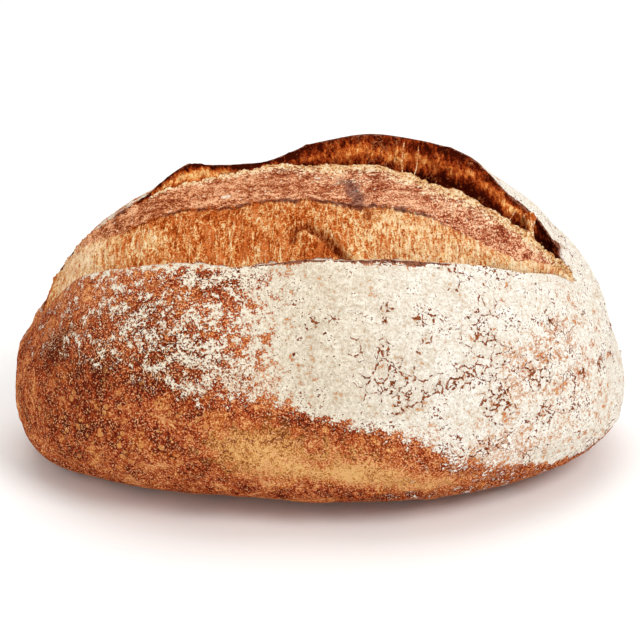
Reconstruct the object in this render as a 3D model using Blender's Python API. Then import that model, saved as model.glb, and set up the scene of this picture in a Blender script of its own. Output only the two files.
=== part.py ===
"""A crusty oval sourdough loaf, torn open along one long slash.

The loaf lies along X and its front faces -Y. It is one solid, joined from three closed forms:
  crust    the whole loaf's skin, with the open slash in its top and the lifted ear behind it
  burst    the dough that swelled out of the slash, between the front lip and the ear
  strand   a rope of dough that still ties the burst to the ear near its right end
The crust and the burst are spheres with their poles at the loaf's ends, whose every ring is moved
onto a cross-section. A point of a section is given by its angle round the loaf, 0 at the top,
negative towards the front and positive towards the back, and by its height over the uncut skin.
"""

import bmesh
import bpy
import numpy as np
from mathutils import Vector

MM = 0.001

# Overall size of the uncut loaf
LENGTH = 263 * MM
FRONT_REACH = 86 * MM     # from the middle line to the widest point of the front
BACK_REACH = 88 * MM      # and of the back
HEIGHT = 119 * MM         # top of the uncut skin, without the ear
WIDEST_HEIGHT = 36 * MM   # height of the widest line at mid length
END_HEIGHT = 30 * MM      # height of the two end points

# How full the outlines are: 2 is an ellipse, more is squarer
PLAN_FULLNESS = 2.25
ARCH_FULLNESS = 2.2
BASE_FULLNESS = 2.7
END_FULLNESS = 14         # how late the underside turns up into the ends
BASE_SINK = 1.08          # the lower curve dips this much under the floor, and is cut flat there

# Guides: pairs of a place along the loaf, -1 at its left end and 1 at its right, and a value there
CREST = (       # height of the top, against an ellipse's
    (-1, 1.3), (-0.96, 0.85), (-0.9, 0.86), (-0.72, 1.09), (-0.5, 1.11), (-0.2, 1.02), (0, 1),
    (0.3, 1.05), (0.6, 1.2), (0.8, 1.22), (0.9, 1.2), (0.96, 0.9), (1, 0.9),
)
UNDERSIDE = (   # mm from the floor up to the underside
    (-1, 0), (0.45, 0), (0.7, 2), (0.9, 8.5), (1, 14),
)
FOOT_IN = (     # mm by which the foot is drawn in
    (-1, 0), (-0.9, 5), (-0.7, 10), (-0.2, 10), (0, 2), (0.3, 5), (0.7, 12), (0.9, 9), (1, 0),
)
LIP = (         # degrees: edge of the floured front crust
    (-1, 14), (-0.9, -6), (-0.72, -27), (-0.45, -35), (0, -34), (0.35, -35.5), (0.6, -38),
    (0.79, -31.5), (1, -31),
)
RIDGE = (       # degrees: dark line between the pale and the browned band of the burst
    (-1, 26), (-0.9, 11), (-0.72, -10), (-0.58, -15.5), (-0.2, -10), (0.3, -17), (0.45, -26),
    (0.6, -33.5), (0.79, -29.5), (1, -30),
)
FRINGE = (      # degrees: torn back edge of the burst
    (-1, 30), (-0.9, 16), (-0.72, -5), (-0.58, -6), (-0.43, 1), (-0.1, 8.5), (0.15, 8.5),
    (0.3, 1), (0.45, -10), (0.6, -22.5), (0.79, -28.5), (1, -29.5),
)
RIM = (         # degrees: free edge of the ear
    (-1, 34), (-0.9, 20), (-0.7, 2), (-0.58, 3), (-0.43, 14), (-0.1, 18), (0.2, 20), (0.45, 10),
    (0.6, -4), (0.7, -14), (0.79, -27), (1, -29),
)
JOIN = (        # degrees: where the ear's outer face meets the back crust
    (-1, 62), (-0.75, 40), (-0.4, 46), (0, 52), (0.3, 54), (0.6, 46), (0.8, 27), (1, 10),
)
RIM_LIFT = (    # mm from the uncut skin up to the ear's edge
    (-1, 0), (-0.7, 0), (-0.58, 1), (-0.43, 6.5), (-0.2, 3.5), (0, 11.5), (0.2, 14.5),
    (0.32, 14), (0.45, 10), (0.6, 2), (0.7, 3.5), (0.86, 0), (1, 0),
)
CREVICE = (     # mm down to the bottom of the cleft between burst and ear
    (-1, 0), (-0.9, 0), (-0.6, 3), (-0.2, 4), (0.15, 10), (0.45, 11), (0.7, 9), (0.9, 0), (1, 0),
)

# The slash's cross-section; shares are of its width from the lip to the root of the ear
SLASH_START, SLASH_WIDE = -0.955, -0.86    # along the loaf: where it starts, and is fully open
SLASH_NARROW, SLASH_END = 0.74, 0.9        # and where it closes again, and ends
LIP_RAISE = 1.2 * MM      # how far the edge of the lip stands proud
LIP_ROLL = 12             # degrees over which it rises
LIP_THICKNESS = 2.0 * MM
LIP_UNDERCUT = 0.04       # share by which the lip's inner edge lies further in
SLOT_DEPTH = 12 * MM
SLOT_FLOOR = (0.12, 0.92)
ROOT_SHARE = 0.4          # the ear's root, on the way from the fringe to the rim
EAR_THICKNESS = 3.0 * MM
EAR_SWEEP = 1.5           # how the ear's outer face comes down to the skin: 1 is straight
UNDER_LEAVES = (0.2, 1.6) # across and up: how its inner face leaves the root
UNDER_ARRIVES = (1.6, 0.6)

# The burst
BURST_LEFT, BURST_RIGHT = -0.935, 0.86
BURST_END_ROUND = 0.03    # share of its length over which each end is rounded
BURST_TUCK = 2.6 * MM     # it comes out from this far under the lip
TUCK_DEPTH, TUCK_SHARE = 8 * MM, 0.05      # and its front foot is this far inside the crust
PALE_CROWN = 2.0 * MM     # highest line of the pale band over the uncut skin
PALE_ARCH = 112           # degrees of arch in the pale band's profile
RIDGE_STEP = 1.4 * MM     # how far the browned band stands over the pale one
FRINGE_BULGE = 4.5 * MM   # height of the torn back edge
FRINGE_ROUND = 1.5 * MM
WALL_SHARE = 0.02
WALL_SINK = 2 * MM        # the back wall ends this far under the bottom of the cleft
BURST_SINK = 6 * MM       # where the slash is closed, the burst lies this far under the skin
ROOT_DEPTH, ROOT_DEPTH_ENDS = 26 * MM, 12 * MM

# Slow unevenness of the whole skin: height in mm, waves along the length, turns round it, phase
LUMPS = ((1.3, 1.7, 1.0, 0.6), (0.9, 3.1, 2.0, 2.1), (0.6, 5.3, 3.0, 4.4))
BASE_LUMPS = 0.3          # share of the unevenness that is left at the base

STRAND_PLACE = 0.687
STRAND_RADIUS = 2.3 * MM
STRAND_SINK = 3           # degrees: how far in front of the fringe its foot stands
STRAND_RISE = 0.55        # share of the ear's lift that it reaches
STRAND_OVERLAP = 1.5 * MM

# Points along the stretches of a section, and the number of sections
FRONT_POINTS = 26
LIP_POINTS = 2
SLOT_POINTS = 4
UNDER_POINTS = 6
RIM_POINTS = 2
OUTER_POINTS = 10
BACK_POINTS = 22
CRUST_SECTIONS = 58
PALE_POINTS = 8
BROWN_POINTS = 7
WALL_POINTS = 3
HIDDEN_POINTS = 6
BURST_SECTIONS = 48
STRAND_POINTS, STRAND_SECTIONS = 10, 8
FINE = 240                # steps in which a stretch is measured before its points are spaced out
TINY = 1e-9               # keeps a division whole where a section shrinks to a point

COLOUR = (0.42, 0.16, 0.06, 1.0)
ROUGHNESS = 0.75


def clear_scene():
    for old in list(bpy.data.objects):
        bpy.data.objects.remove(old, do_unlink=True)


def ease(low, high, value):
    """0 up to low, 1 from high on, and a smooth slope between them."""
    share = np.clip((value - low) / (high - low), 0, 1)
    return share * share * (3 - 2 * share)


def guide_value(guide, place):
    """The guide's value at a place, on a smooth curve that never overshoots its points."""
    places, values = np.array(guide, float).T
    rises = np.diff(values) / np.diff(places)
    before, after = rises[:-1], rises[1:]
    turning = before * after <= 0
    inner = np.where(turning, 0, 2 * before * after / np.where(turning, 1, before + after))
    slopes = np.concatenate([rises[:1], inner, rises[-1:]])
    left = int(np.clip(np.searchsorted(places, place) - 1, 0, len(rises) - 1))
    span = places[left + 1] - places[left]
    t = (place - places[left]) / span
    start, end = values[left : left + 2]
    leave, arrive = slopes[left : left + 2] * span
    return cubic(start, end, leave, arrive, t)


def cubic(start, end, leave, arrive, t):
    """The point at t, 0 to 1, of a cubic that leaves its start and arrives at its end as told."""
    return (
        start * (1 + 2 * t) * (1 - t) ** 2
        + leave * t * (1 - t) ** 2
        + end * t * t * (3 - 2 * t)
        + arrive * t * t * (t - 1)
    )


def openness(place):
    """1 where the slash is fully open, 0 beyond its ends."""
    return ease(SLASH_START, SLASH_WIDE, place) * (1 - ease(SLASH_NARROW, SLASH_END, place))


def rounded_end(place, fullness):
    """1 in the middle of the loaf, falling to 0 at its two ends as a full curve does."""
    return np.sqrt(max(0.0, 1 - abs(place) ** fullness))


def lumps(place, angles):
    """Height of the skin's slow unevenness at these angles, in radians."""
    height = sum(
        size * np.sin(waves * np.pi * place + turns * angles + phase)
        for size, waves, turns, phase in LUMPS
    )
    share = BASE_LUMPS + (1 - BASE_LUMPS) * ease(-0.5, 0.2, np.cos(angles))
    return height * MM * share * (1 - place**6)


def skin(place, angles, lift=0.0):
    """Points (y, z) at lift over the uncut skin of one section, at these angles in degrees."""
    angles = np.radians(np.atleast_1d(np.asarray(angles, float)))
    side, up = np.sin(angles), np.cos(angles)
    middle = END_HEIGHT + (WIDEST_HEIGHT - END_HEIGHT) * (1 - place * place)
    rise = (HEIGHT - middle) * guide_value(CREST, place) * rounded_end(place, 2)
    fall = (middle - guide_value(UNDERSIDE, place) * MM) * BASE_SINK * rounded_end(place, END_FULLNESS)
    radius_y = np.where(side < 0, FRONT_REACH, BACK_REACH) * rounded_end(place, PLAN_FULLNESS)
    radius_z = np.where(up > 0, rise, fall)
    power = np.where(up > 0, ARCH_FULLNESS, BASE_FULLNESS)
    y = np.sign(side) * np.abs(side) ** (2 / power)
    z = np.sign(up) * np.abs(up) ** (2 / power)
    steep_y = np.sign(y) * np.abs(y) ** (power - 1) / (radius_y + TINY)
    steep_z = np.sign(z) * np.abs(z) ** (power - 1) / (radius_z + TINY)
    outward = np.stack([steep_y, steep_z], axis=1) / (np.hypot(steep_y, steep_z) + TINY)[:, None]
    points = np.stack([radius_y * y, middle + radius_z * z], axis=1)
    points += outward * (lumps(place, angles) + lift)[:, None]
    below = np.clip(1 - points[:, 1] / middle, 0, 1)
    points[:, 0] -= y * below * guide_value(FOOT_IN, place) * MM
    points[:, 1] = np.maximum(points[:, 1], 0)
    return points


def spaced(stretches, count):
    """The line through all these points as count evenly spaced ones, without its last point."""
    points = np.concatenate([np.atleast_2d(stretch) for stretch in stretches])
    steps = np.linalg.norm(np.diff(points, axis=0), axis=1)
    run = np.concatenate([[0], np.cumsum(steps)])
    wanted = np.linspace(0, run[-1], count + 1)[:-1]
    return np.stack([np.interp(wanted, run, points[:, axis]) for axis in (0, 1)], axis=1)


def slash_marks(place):
    """The angles, heights and openness of the slash at one section."""
    fringe, rim = guide_value(FRINGE, place), guide_value(RIM, place)
    lip, root = guide_value(LIP, place), fringe + ROOT_SHARE * (rim - fringe)
    return {
        "lip": lip,
        "ridge": guide_value(RIDGE, place),
        "fringe": fringe,
        "root": root,
        "rim": rim,
        "join": guide_value(JOIN, place),
        "width": root - lip,
        "open": openness(place),
        "lift": guide_value(RIM_LIFT, place) * MM,
        "crevice": guide_value(CREVICE, place) * MM,
    }


def ear_faces(place, marks, root):
    """The ear's inner face, up from its root, and its outer face, down to the back crust."""
    down = np.linspace(0, 1, FINE)
    outer_angles = marks["rim"] + (marks["join"] - marks["rim"]) * down
    outer = skin(place, outer_angles, marks["lift"] * (1 - down) ** EAR_SWEEP)
    backwards = outer[FINE // 8] - outer[0]
    backwards = backwards / (np.linalg.norm(backwards) + TINY)
    thickness = min(EAR_THICKNESS, np.linalg.norm(outer[0] - root) / 2)
    edge = outer[0] - backwards * thickness
    reach = edge - root
    inner = cubic(root, edge, reach * UNDER_LEAVES, reach * UNDER_ARRIVES, down[:, None])
    return inner, outer


def crust_section(place):
    """One section of the crust, from under the base round the front and the slash to the back."""
    marks = slash_marks(place)
    lip, root, width, opened = (marks[name] for name in ("lip", "root", "width", "open"))
    front_angles = np.linspace(-180, lip, FINE)
    front = skin(place, front_angles, LIP_RAISE * opened * ease(LIP_ROLL, 0, lip - front_angles))
    lip_top = skin(place, lip, LIP_RAISE)
    lip_inner = skin(place, lip + LIP_UNDERCUT * width, -LIP_THICKNESS)
    slot_floor = skin(place, [lip + share * width for share in SLOT_FLOOR], -SLOT_DEPTH)
    root_point = skin(place, root, -marks["crevice"])
    inner, outer = ear_faces(place, marks, root_point[0])
    slash = np.concatenate(
        [
            spaced([lip_top, lip_inner], LIP_POINTS),
            spaced([lip_inner, slot_floor, root_point], SLOT_POINTS),
            spaced([inner], UNDER_POINTS),
            spaced([inner[-1], outer[0]], RIM_POINTS),
            spaced([outer], OUTER_POINTS),
        ]
    )
    uncut = skin(place, np.linspace(lip, marks["join"], len(slash) + 1)[:-1])
    back = skin(place, np.linspace(marks["join"], 180, FINE))
    return np.concatenate(
        [spaced([front], FRONT_POINTS), uncut + (slash - uncut) * opened, spaced([back], BACK_POINTS)]
    )


def pale_height(share):
    """Height of the pale band over the uncut skin, from the lip (0) to the ridge (1)."""
    return -BURST_TUCK + (PALE_CROWN + BURST_TUCK) * np.sin(np.radians(share * PALE_ARCH))


def brown_height(share):
    """Height of the browned band over the uncut skin, from the ridge (0) to the fringe (1)."""
    foot = pale_height(1) + RIDGE_STEP
    return foot + (FRINGE_BULGE - foot) * ease(0, 1, share)


def burst_section(place):
    """One section of the burst: its two bands, the wall down behind them, and its hidden root."""
    marks = slash_marks(place)
    lip, ridge, fringe, root, width, opened = (
        marks[name] for name in ("lip", "ridge", "fringe", "root", "width", "open")
    )
    share = np.linspace(0, 1, FINE)
    root_depth = ROOT_DEPTH_ENDS + (ROOT_DEPTH - ROOT_DEPTH_ENDS) * opened

    def surfaced(height):
        return (height + BURST_SINK) * opened - BURST_SINK

    tuck = skin(place, lip - TUCK_SHARE * width, -TUCK_DEPTH)
    pale = skin(place, lip + (ridge - lip) * share, surfaced(pale_height(share)))
    brown = skin(place, ridge + (fringe - ridge) * share, surfaced(brown_height(share)))
    wall_top = skin(place, fringe + WALL_SHARE * width, surfaced(FRINGE_BULGE - FRINGE_ROUND))
    wall_foot = skin(place, root + WALL_SHARE * width, -marks["crevice"] - WALL_SINK)
    root_back = skin(place, root - 2 * WALL_SHARE * width, -root_depth)
    root_front = skin(place, lip + SLOT_FLOOR[0] * width, -root_depth)
    return np.concatenate(
        [
            spaced([tuck, pale], PALE_POINTS),
            spaced([pale[-1], brown], BROWN_POINTS),
            spaced([brown[-1], wall_top, wall_foot], WALL_POINTS),
            spaced([wall_foot, root_back, root_front, tuck], HIDDEN_POINTS),
        ]
    )


def rounded_burst_section(place):
    """A burst section, drawn in towards its middle at the burst's two ends."""
    points = burst_section(place)
    share = (place - BURST_LEFT) / (BURST_RIGHT - BURST_LEFT)
    near_end = 1 - min(share, 1 - share) / BURST_END_ROUND
    size = np.sqrt(max(0.0, 1 - max(0.0, near_end) ** 2))
    centre = points.mean(axis=0)
    return centre + (points - centre) * size


def sphere_form(name, points, sections):
    """A closed sphere of radius 1 with its poles on Z, to be shaped."""
    bm = bmesh.new()
    bmesh.ops.create_uvsphere(bm, u_segments=points, v_segments=sections, radius=1.0)
    mesh = bpy.data.meshes.new(name)
    bm.to_mesh(mesh)
    bm.free()
    return bpy.data.objects.new(name, mesh)


def loft(name, section, ends, points, sections):
    """A sphere whose poles are moved to the two ends, and each of its rings onto its section."""
    form = sphere_form(name, points, sections)
    middle, half = sum(ends) / 2, (ends[1] - ends[0]) / 2
    rings = {}
    for vertex in form.data.vertices:
        x, y, z = vertex.co
        level = round(z, 6)
        place = float(np.clip(middle + half * level, *ends))
        if level not in rings:
            rings[level] = section(place)
        if abs(level) == 1:
            across, up = rings[level].mean(axis=0)
        else:
            turn = np.arctan2(y, x) / (2 * np.pi)
            across, up = rings[level][round(turn * points) % points]
        vertex.co = (place * LENGTH / 2, across, up)
    bm = bmesh.new()
    bm.from_mesh(form.data)
    bmesh.ops.recalc_face_normals(bm, faces=bm.faces)
    bm.to_mesh(form.data)
    bm.free()
    return form


def make_crust():
    points = FRONT_POINTS + LIP_POINTS + SLOT_POINTS + UNDER_POINTS + RIM_POINTS
    points += OUTER_POINTS + BACK_POINTS
    return loft("loaf", crust_section, (-1, 1), points, CRUST_SECTIONS)


def make_burst():
    points = PALE_POINTS + BROWN_POINTS + WALL_POINTS + HIDDEN_POINTS
    ends = (BURST_LEFT, BURST_RIGHT)
    return loft("burst_form", rounded_burst_section, ends, points, BURST_SECTIONS)


def make_strand():
    """The rope of dough from the torn edge of the burst up to the inside of the ear."""
    marks = slash_marks(STRAND_PLACE)
    low = skin(STRAND_PLACE, marks["fringe"] - STRAND_SINK)[0]
    high = skin(STRAND_PLACE, marks["rim"], marks["lift"] * STRAND_RISE)[0]
    foot = Vector((STRAND_PLACE * LENGTH / 2, *low))
    head = Vector((STRAND_PLACE * LENGTH / 2, *high))
    strand = sphere_form("strand_form", STRAND_POINTS, STRAND_SECTIONS)
    strand.location = (foot + head) / 2
    strand.scale = (STRAND_RADIUS, STRAND_RADIUS, (head - foot).length / 2 + STRAND_OVERLAP)
    strand.rotation_euler = (head - foot).to_track_quat("Z", "Y").to_euler()
    return strand


def crust_material():
    material = bpy.data.materials.new("baked_crust")
    material.use_nodes = True
    shader = material.node_tree.nodes["Principled BSDF"]
    shader.inputs["Base Color"].default_value = COLOUR
    shader.inputs["Roughness"].default_value = ROUGHNESS
    shader.inputs["Metallic"].default_value = 0.0
    return material


def join_forms(body, forms):
    """Joins all the forms into the body by one Boolean union, and removes them."""
    union = body.modifiers.new("join", "BOOLEAN")
    union.operation = "UNION"
    union.operand_type = "COLLECTION"
    union.collection = forms
    bpy.context.view_layer.update()
    graph = bpy.context.evaluated_depsgraph_get()
    joined = bpy.data.meshes.new_from_object(body.evaluated_get(graph))
    body.modifiers.clear()
    body.data = joined
    for form in list(forms.objects):
        bpy.data.objects.remove(form, do_unlink=True)
    bpy.data.collections.remove(forms)


def centre_on_floor(obj):
    """Moves the mesh so that its box stands on the floor, centred over the origin."""
    corners = np.array([vertex.co[:] for vertex in obj.data.vertices])
    low, high = corners.min(axis=0), corners.max(axis=0)
    shift = Vector((-(low[0] + high[0]) / 2, -(low[1] + high[1]) / 2, -low[2]))
    for vertex in obj.data.vertices:
        vertex.co += shift


def main():
    clear_scene()
    parts = bpy.data.collections.new("sourdough_loaf")
    forms = bpy.data.collections.new("joined_forms")
    for collection in (parts, forms):
        bpy.context.scene.collection.children.link(collection)
    loaf = make_crust()
    parts.objects.link(loaf)
    for form in (make_burst(), make_strand()):
        forms.objects.link(form)
    join_forms(loaf, forms)
    centre_on_floor(loaf)
    loaf.data.materials.clear()
    loaf.data.materials.append(crust_material())
    loaf.data.shade_smooth()
    loaf.data.set_sharp_from_angle(angle=np.radians(50))


main()
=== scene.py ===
# %% [markdown]
# # A crusty sourdough loaf
#
# The finished CAD part gives the loaf's place and size. Here it gets its real looks: floured crust
# that has crackled and patches of brown crust with blisters, the torn, fibrous dough that burst out
# of the slash, and the dark ear that lifted behind it. We start by loading the CAD part as a fixed
# frame, and we keep its box, because the visual model may not outgrow it.

# %% Load the frame
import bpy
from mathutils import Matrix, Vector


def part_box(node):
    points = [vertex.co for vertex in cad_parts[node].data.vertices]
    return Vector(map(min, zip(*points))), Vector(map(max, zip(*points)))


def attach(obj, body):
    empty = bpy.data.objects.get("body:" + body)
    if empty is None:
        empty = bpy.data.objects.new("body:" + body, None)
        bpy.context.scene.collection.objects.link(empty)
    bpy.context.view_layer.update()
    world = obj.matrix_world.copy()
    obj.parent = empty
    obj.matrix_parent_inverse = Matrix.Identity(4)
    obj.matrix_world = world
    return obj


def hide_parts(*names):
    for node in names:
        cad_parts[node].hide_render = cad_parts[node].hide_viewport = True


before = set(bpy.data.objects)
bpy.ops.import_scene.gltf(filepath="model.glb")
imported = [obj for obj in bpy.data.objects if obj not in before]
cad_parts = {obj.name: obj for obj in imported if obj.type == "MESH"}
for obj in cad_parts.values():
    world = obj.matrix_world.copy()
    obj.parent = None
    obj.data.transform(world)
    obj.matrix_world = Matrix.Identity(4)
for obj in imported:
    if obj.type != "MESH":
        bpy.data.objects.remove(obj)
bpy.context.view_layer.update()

import math

import bpy
import numpy as np
from mathutils import Vector, noise

MM = 0.001
bpy.ops.object.select_all(action="DESELECT")
cad_low, cad_high = (np.array(corner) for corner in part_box("loaf"))
print("the CAD loaf is", np.round((cad_high - cad_low) / MM, 1), "mm")

# %% [markdown]
# ## The camera
#
# The photograph looks down on the loaf from about 24 degrees above the table, square to its front,
# through a long lens. A camera is easiest to place by a point it looks at, a height angle and a
# distance: those three say the same thing that a photographer would.

# %% Place the camera
VIEW_HEIGHT = 24            # degrees above the table
VIEW_DISTANCE = 840 * MM
LOOK_AT = Vector((0, 0, 58.5 * MM))
LENS, SENSOR = 110, 36      # mm

rise = math.radians(VIEW_HEIGHT)
bpy.ops.object.camera_add()
camera = bpy.context.object
camera.data.lens, camera.data.sensor_width = LENS, SENSOR
away = Vector((0, -math.cos(rise), math.sin(rise)))
camera.location = LOOK_AT + away * VIEW_DISTANCE
camera.rotation_euler = (-away).to_track_quat("-Z", "Y").to_euler()
bpy.context.scene.camera = camera
print("the camera stands", round(camera.location.z, 3), "m over the table")

# %% [markdown]
# ## The measures of the loaf
#
# A loaf has no straight edge to start from, so it is described like a ship's hull: by guides along
# its length. Each guide is a row of pairs, a place along the loaf (-1 left end, 1 right end) and a
# value there. Edges are given by their angle round the loaf: 0 at the top, negative to the front.
# These are the same guides that shaped the CAD part, so the finer skin made here lies in its place.

# %% Guides along the loaf
LENGTH = 263 * MM
FRONT_REACH = 86 * MM
BACK_REACH = 88 * MM
HEIGHT = 119 * MM
WIDEST_HEIGHT = 36 * MM
END_HEIGHT = 30 * MM
PLAN_FULLNESS, ARCH_FULLNESS, BASE_FULLNESS, END_FULLNESS = 2.25, 2.2, 2.7, 14
BASE_SINK = 1.08
CREST = (
    (-1, 1.3), (-0.96, 0.85), (-0.9, 0.86), (-0.72, 1.09), (-0.5, 1.11), (-0.2, 1.02), (0, 1),
    (0.3, 1.05), (0.6, 1.2), (0.8, 1.22), (0.9, 1.2), (0.96, 0.9), (1, 0.9),
)
UNDERSIDE = ((-1, 0), (0.45, 0), (0.7, 2), (0.9, 8.5), (1, 14))
FOOT_IN = (
    (-1, 0), (-0.9, 5), (-0.7, 10), (-0.2, 10), (0, 2), (0.3, 5), (0.7, 12), (0.9, 9), (1, 0),
)
LIP = (
    (-1, 14), (-0.9, -6), (-0.72, -27), (-0.45, -35), (0, -34), (0.35, -35.5), (0.6, -38),
    (0.79, -31.5), (1, -31),
)
RIDGE = (
    (-1, 26), (-0.9, 11), (-0.72, -10), (-0.58, -15.5), (-0.2, -10), (0.3, -17), (0.45, -26),
    (0.6, -33.5), (0.79, -29.5), (1, -30),
)
FRINGE = (
    (-1, 30), (-0.9, 16), (-0.72, -5), (-0.58, -6), (-0.43, 1), (-0.1, 8.5), (0.15, 8.5),
    (0.3, 1), (0.45, -10), (0.6, -22.5), (0.79, -28.5), (1, -29.5),
)
RIM = (
    (-1, 34), (-0.9, 20), (-0.7, 2), (-0.58, 3), (-0.43, 14), (-0.1, 18), (0.2, 20), (0.45, 10),
    (0.6, -4), (0.7, -14), (0.79, -27), (1, -29),
)
JOIN = ((-1, 62), (-0.75, 40), (-0.4, 46), (0, 52), (0.3, 54), (0.6, 46), (0.8, 27), (1, 10))
RIM_LIFT = (
    (-1, 0), (-0.7, 0), (-0.58, 1), (-0.43, 6.5), (-0.2, 3.5), (0, 11.5), (0.2, 14.5),
    (0.32, 14), (0.45, 10), (0.6, 2), (0.7, 3.5), (0.86, 0), (1, 0),
)
CREVICE = (
    (-1, 0), (-0.9, 0), (-0.6, 3), (-0.2, 4), (0.15, 10), (0.45, 11), (0.7, 9), (0.9, 0), (1, 0),
)


def ease(low, high, value):
    """0 up to low, 1 from high on, and a smooth slope between them."""
    share = np.clip((value - low) / (high - low), 0, 1)
    return share * share * (3 - 2 * share)


def cubic(start, end, leave, arrive, t):
    """The point at t of a curve that leaves its start and arrives at its end as told."""
    return (
        start * (1 + 2 * t) * (1 - t) ** 2
        + leave * t * (1 - t) ** 2
        + end * t * t * (3 - 2 * t)
        + arrive * t * t * (t - 1)
    )


def guide_value(guide, place):
    """The guide's value at one place or many, on a smooth curve that never overshoots."""
    places, values = np.array(guide, float).T
    rises = np.diff(values) / np.diff(places)
    before, after = rises[:-1], rises[1:]
    turning = before * after <= 0
    inner = np.where(turning, 0, 2 * before * after / np.where(turning, 1, before + after))
    slopes = np.concatenate([rises[:1], inner, rises[-1:]])
    left = np.clip(np.searchsorted(places, place) - 1, 0, len(rises) - 1)
    span = places[left + 1] - places[left]
    t = (place - places[left]) / span
    return cubic(values[left], values[left + 1], slopes[left] * span, slopes[left + 1] * span, t)


print("the ear's edge lifts up to", max(value for _, value in RIM_LIFT), "mm")

# %% [markdown]
# ## The uncut skin
#
# Before it was slashed the loaf was a plain oval cushion, flat underneath. One function gives any
# point of that skin, raised or sunk by a chosen height. Everything else, the slash, the burst and
# the ear, is said as a height over this skin, which keeps all the pieces in step with each other.

# %% The skin of the uncut loaf
LUMPS = ((1.3, 1.7, 1.0, 0.6), (0.9, 3.1, 2.0, 2.1), (0.6, 5.3, 3.0, 4.4))
BASE_LUMPS = 0.3
TINY = 1e-9


def rounded_end(place, fullness):
    """1 in the middle of the loaf, falling to 0 at its two ends as a full curve does."""
    return np.sqrt(max(0.0, 1 - abs(place) ** fullness))


def lumps(place, angles):
    """Height of the skin's slow unevenness at these angles, in radians."""
    height = sum(
        size * np.sin(waves * np.pi * place + turns * angles + phase)
        for size, waves, turns, phase in LUMPS
    )
    share = BASE_LUMPS + (1 - BASE_LUMPS) * ease(-0.5, 0.2, np.cos(angles))
    return height * MM * share * (1 - place**6)


def skin(place, angles, lift=0.0):
    """Rows of (across, up, angle) at lift over the uncut skin, at these angles in degrees."""
    degrees = np.atleast_1d(np.asarray(angles, float))
    angles = np.radians(degrees)
    side, up = np.sin(angles), np.cos(angles)
    middle = END_HEIGHT + (WIDEST_HEIGHT - END_HEIGHT) * (1 - place * place)
    rise = (HEIGHT - middle) * guide_value(CREST, place) * rounded_end(place, 2)
    fall = (middle - guide_value(UNDERSIDE, place) * MM) * BASE_SINK * rounded_end(place, END_FULLNESS)
    radius_y = np.where(side < 0, FRONT_REACH, BACK_REACH) * rounded_end(place, PLAN_FULLNESS)
    radius_z = np.where(up > 0, rise, fall)
    power = np.where(up > 0, ARCH_FULLNESS, BASE_FULLNESS)
    y = np.sign(side) * np.abs(side) ** (2 / power)
    z = np.sign(up) * np.abs(up) ** (2 / power)
    steep_y = np.sign(y) * np.abs(y) ** (power - 1) / (radius_y + TINY)
    steep_z = np.sign(z) * np.abs(z) ** (power - 1) / (radius_z + TINY)
    outward = np.stack([steep_y, steep_z], axis=1) / (np.hypot(steep_y, steep_z) + TINY)[:, None]
    points = np.stack([radius_y * y, middle + radius_z * z], axis=1)
    points += outward * (lumps(place, angles) + lift)[:, None]
    below = np.clip(1 - points[:, 1] / middle, 0, 1)
    points[:, 0] -= y * below * guide_value(FOOT_IN, place) * MM
    points[:, 1] = np.maximum(points[:, 1], 0)
    return np.column_stack([points, degrees])


def spaced(stretches, count, label):
    """The line through these points as count evenly spaced rows, each with the stretch's label."""
    rows = np.concatenate([np.atleast_2d(stretch) for stretch in stretches])
    steps = np.linalg.norm(np.diff(rows[:, :2], axis=0), axis=1)
    run = np.concatenate([[0], np.cumsum(steps)])
    wanted = np.linspace(0, run[-1], count + 1)[:-1]
    columns = [np.interp(wanted, run, column) for column in rows.T]
    return np.column_stack([*columns, np.full(count, label)])


print("half way along, the uncut top is", round(skin(0.0, 0)[0, 1] / MM, 1), "mm up")

# %% [markdown]
# ## Raggedness
#
# Torn dough has no smooth edge. Blender's noise gives the same crooked line each time it is asked,
# so the tears below are crooked and yet never change from one run to the next. `ragged` is noise
# along a line, and `rough` is noise over a surface. Sizes are in millimetres, as on a ruler.

# %% Crooked lines and rough surfaces
def ragged(place, size, seed):
    """Noise from -1 to 1 along the loaf, with bends about this many mm long."""
    return noise.noise(Vector((place * LENGTH / 2 / (size * MM), seed, 0)))


def rough(points, size, detail=2, seed=0.0, stretch=(1, 1, 1)):
    """Noise from about -1 to 1 at each point, with grains about this many mm wide."""
    scaled = points / (np.array(stretch) * size * MM) + seed
    return np.array([noise.fractal(Vector(row), 0.8, 2.0, detail) for row in scaled])


print("a sample of the crooked line:", [round(ragged(x / 10, 5, 1), 2) for x in range(4)])

# %% [markdown]
# ## The crust
#
# The crust is one closed skin that runs from the base up the front to the lip of the slash, down
# into the slash, up the inner face of the ear, over its rim and down the back. Extruding and
# bevelling can't give such a free form, so we start from a UV sphere laid along the loaf and move
# each of its rings onto a cross-section. The rings are spaced by the loaf's own outline, which
# puts them closer together where the ends turn round.

# %% Measures of the slash and the ear
FRONT, LIP_EDGE, SLOT, UNDER, RIM_EDGE, OUTER, BACK = range(7)
CRUST_POINTS = (132, 4, 5, 24, 6, 34, 88)       # points on each of these stretches
CRUST_SECTIONS = 336
FINE = 400                  # steps of a line before its points are spaced out
SLASH_START, SLASH_WIDE = -0.955, -0.86         # places: it begins, it is fully open
SLASH_NARROW, SLASH_END = 0.71, 0.8             # places: it begins to close, it is shut
LIP_RAISE = 1.2 * MM        # how much the front lip curls up
LIP_ROLL = 12               # degrees over which it does
LIP_THICKNESS = 2.0 * MM
LIP_UNDERCUT = 0.04         # share of the slash's width
SLOT_DEPTH = 12 * MM
SLOT_FLOOR = (0.12, 0.92)   # shares of the width where the floor starts and ends
ROOT_SHARE = 0.4            # place of the ear's root between the fringe (0) and the rim (1)
EAR_THICKNESS = 2.4 * MM
EAR_SWEEP = 1.5             # how fast the ear's lift dies away down its back
UNDER_LEAVES = np.array((0.2, 1.6, 1))          # how the inner face leaves the root
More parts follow.
